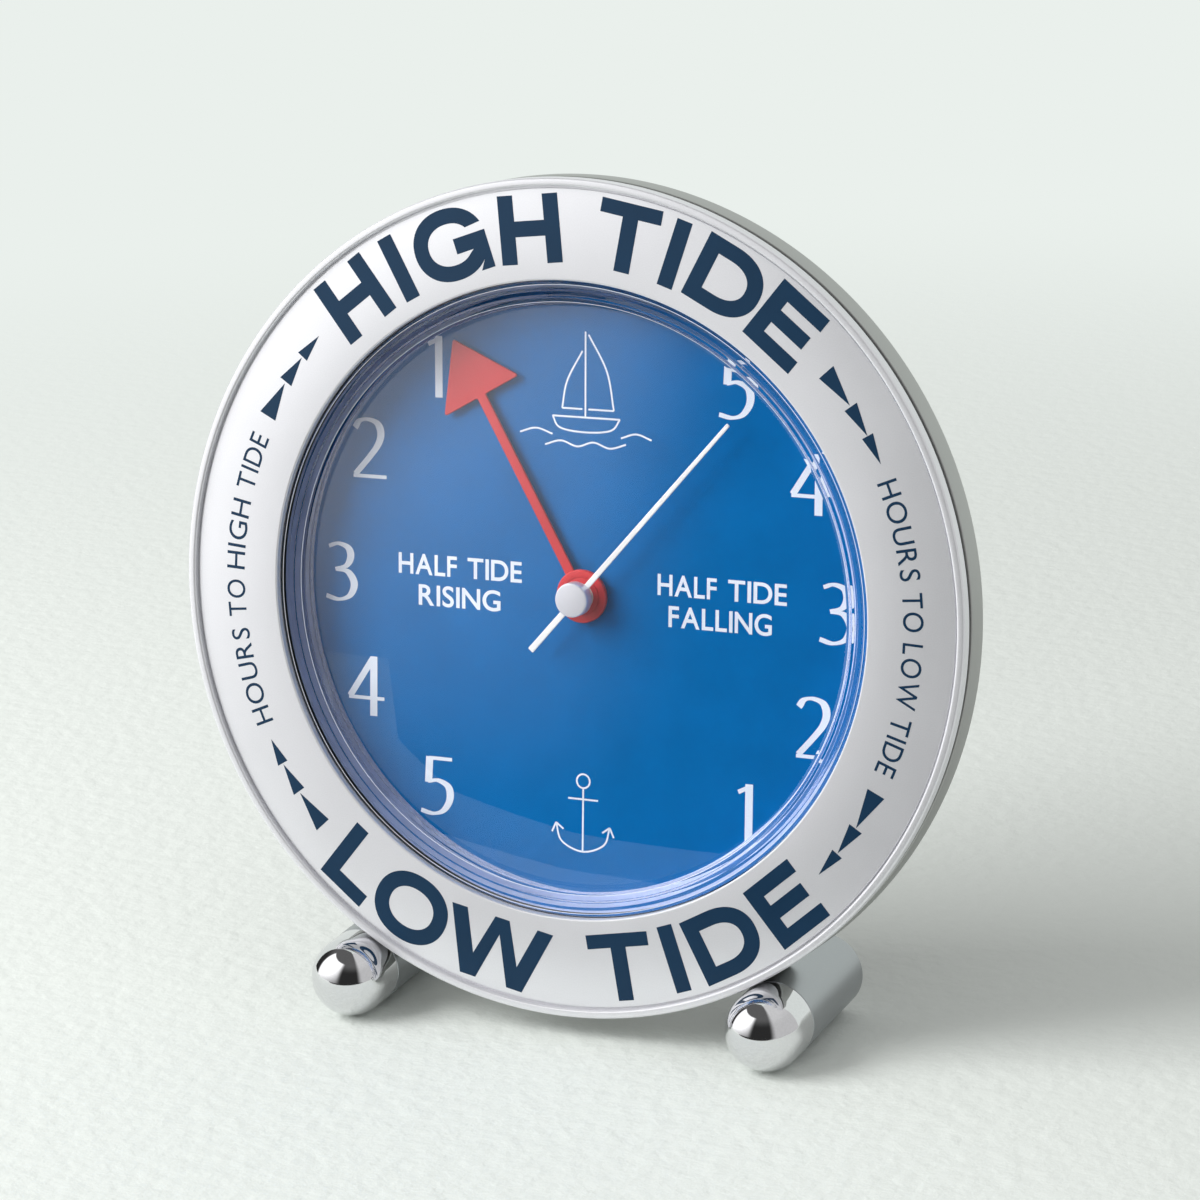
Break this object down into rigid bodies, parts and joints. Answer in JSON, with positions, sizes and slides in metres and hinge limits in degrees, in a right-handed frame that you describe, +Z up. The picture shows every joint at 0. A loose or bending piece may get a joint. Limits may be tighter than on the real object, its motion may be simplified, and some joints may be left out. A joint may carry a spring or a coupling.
{
  "type": "tide clock",
  "caption": "Round metal table clock for the tide, leaning back slightly on two round bar feet with ball ends.",
  "frame": {"origin": "middle of the bounding box's footprint, on the surface that the feet stand on", "axes": "+Z up, the dial faces -Y and leans back 7 degrees, +X is to the right as seen from the front"},
  "size_m": [0.1524, 0.054, 0.1556],
  "materials": {
    "ring_metal": "fine brushed, clear satin",
    "drum_metal": "satin",
    "spacer_black": "matte",
    "clear_crystal": "clear polished",
    "rubber_black": "matte",
    "silicone_pale": "matte",
    "dial_blue": "smooth print",
    "plate_black": "fine texture",
    "screw_steel": "zinc plated",
    "foam_grey": "soft foam",
    "case_black": "fine texture",
    "brass_turned": "turned",
    "cell_wrap": "printed sleeve",
    "contact_steel": "nickel plated spring strip",
    "wheel_white": "moulded",
    "wheel_brass": "stamped",
    "magnet_dark": "sintered",
    "core_steel": "plain",
    "bobbin_green": "moulded",
    "copper_wire": "enamelled copper wire",
    "board_green": "laminate with parts",
    "knob_black": "moulded",
    "hand_red": "gloss paint",
    "hand_white": "gloss paint",
    "cap_silver": "satin",
    "foot_satin": "satin plated",
    "foot_chrome": "polished"
  },
  "bodies": {
    "clock_body": {"battery_cell": "cell_wrap", "battery_contacts": "contact_steel", "board_studs": "case_black", "centre_bush": "brass_turned", "circuit_board": "board_green", "coil_bobbin": "bobbin_green", "coil_core": "core_steel", "coil_winding": "copper_wire", "crystal": "clear_crystal", "crystal_gasket": "silicone_pale", "dial_plate": "dial_blue", "drum_shell": "drum_metal", "foot_bar_left": "foot_satin", "foot_bar_right": "foot_satin", "foot_cap_left": "foot_chrome", "foot_cap_right": "foot_chrome", "foot_pad_left": "rubber_black", "foot_pad_right": "rubber_black", "foot_screws": "screw_steel", "front_ring": "ring_metal", "movement_base": "case_black", "movement_lid": "case_black", "movement_pad": "foam_grey", "movement_screws": "screw_steel", "rear_plate": "plate_black", "rear_plate_screws": "screw_steel", "shadow_spacer": "spacer_black", "stator": "core_steel", "wheel_bridge": "case_black"},
    "tide_group": {"tide_wheel": "wheel_brass", "tide_hand": "hand_red"},
    "minute_group": {"minute_wheel": "wheel_white", "setting_knob": "knob_black"},
    "cannon_group": {"cannon_pinion": "wheel_brass"},
    "sweep_group": {"sweep_wheel": "wheel_white", "sweep_hand": "hand_white", "sweep_cap": "cap_silver"},
    "third_group": {"third_wheel": "wheel_white"},
    "centre_group": {"centre_wheel": "wheel_brass"},
    "intermediate_group": {"intermediate_wheel": "wheel_white"},
    "rotor_group": {"rotor": "magnet_dark"}
  },
  "joints": [
    {"name": "tide_hand_turn", "type": "hinge", "parent": "clock_body", "child": "tide_group", "pos_m": [0, 0.00246, 0.07862], "axis": [0, 0.9925, -0.1219], "continuous": true},
    {"name": "setting_knob_turn", "type": "hinge", "parent": "clock_body", "child": "minute_group", "pos_m": [0.00625, 0.0099, 0.08299], "axis": [0, 0.9925, -0.1219], "continuous": true},
    {"name": "cannon_pinion_turn", "type": "hinge", "parent": "clock_body", "child": "cannon_group", "pos_m": [0, 0.00246, 0.07862], "axis": [0, 0.9925, -0.1219], "continuous": true},
    {"name": "sweep_hand_turn", "type": "hinge", "parent": "clock_body", "child": "sweep_group", "pos_m": [0, 0.00246, 0.07862], "axis": [0, 0.9925, -0.1219], "continuous": true},
    {"name": "third_wheel_turn", "type": "hinge", "parent": "clock_body", "child": "third_group", "pos_m": [-0.00733, 0.01385, 0.07991], "axis": [0, 0.9925, -0.1219], "continuous": true},
    {"name": "centre_wheel_turn", "type": "hinge", "parent": "clock_body", "child": "centre_group", "pos_m": [0, 0.00246, 0.07862], "axis": [0, 0.9925, -0.1219], "continuous": true},
    {"name": "intermediate_wheel_turn", "type": "hinge", "parent": "clock_body", "child": "intermediate_group", "pos_m": [-0.00024, 0.01775, 0.08379], "axis": [0, 0.9925, -0.1219], "continuous": true},
    {"name": "rotor_turn", "type": "hinge", "parent": "clock_body", "child": "rotor_group", "pos_m": [0.00076, 0.01964, 0.08927], "axis": [0, 0.9925, -0.1219], "continuous": true}
  ],
  "couplings": [
    {"joint": "setting_knob_turn", "follows": "tide_hand_turn", "ratio": -4},
    {"joint": "cannon_pinion_turn", "follows": "tide_hand_turn", "ratio": 12},
    {"joint": "third_wheel_turn", "follows": "sweep_hand_turn", "ratio": -0.13043},
    {"joint": "centre_wheel_turn", "follows": "sweep_hand_turn", "ratio": 0.016103},
    {"joint": "intermediate_wheel_turn", "follows": "sweep_hand_turn", "ratio": -6},
    {"joint": "rotor_turn", "follows": "sweep_hand_turn", "ratio": 30}
  ]
}
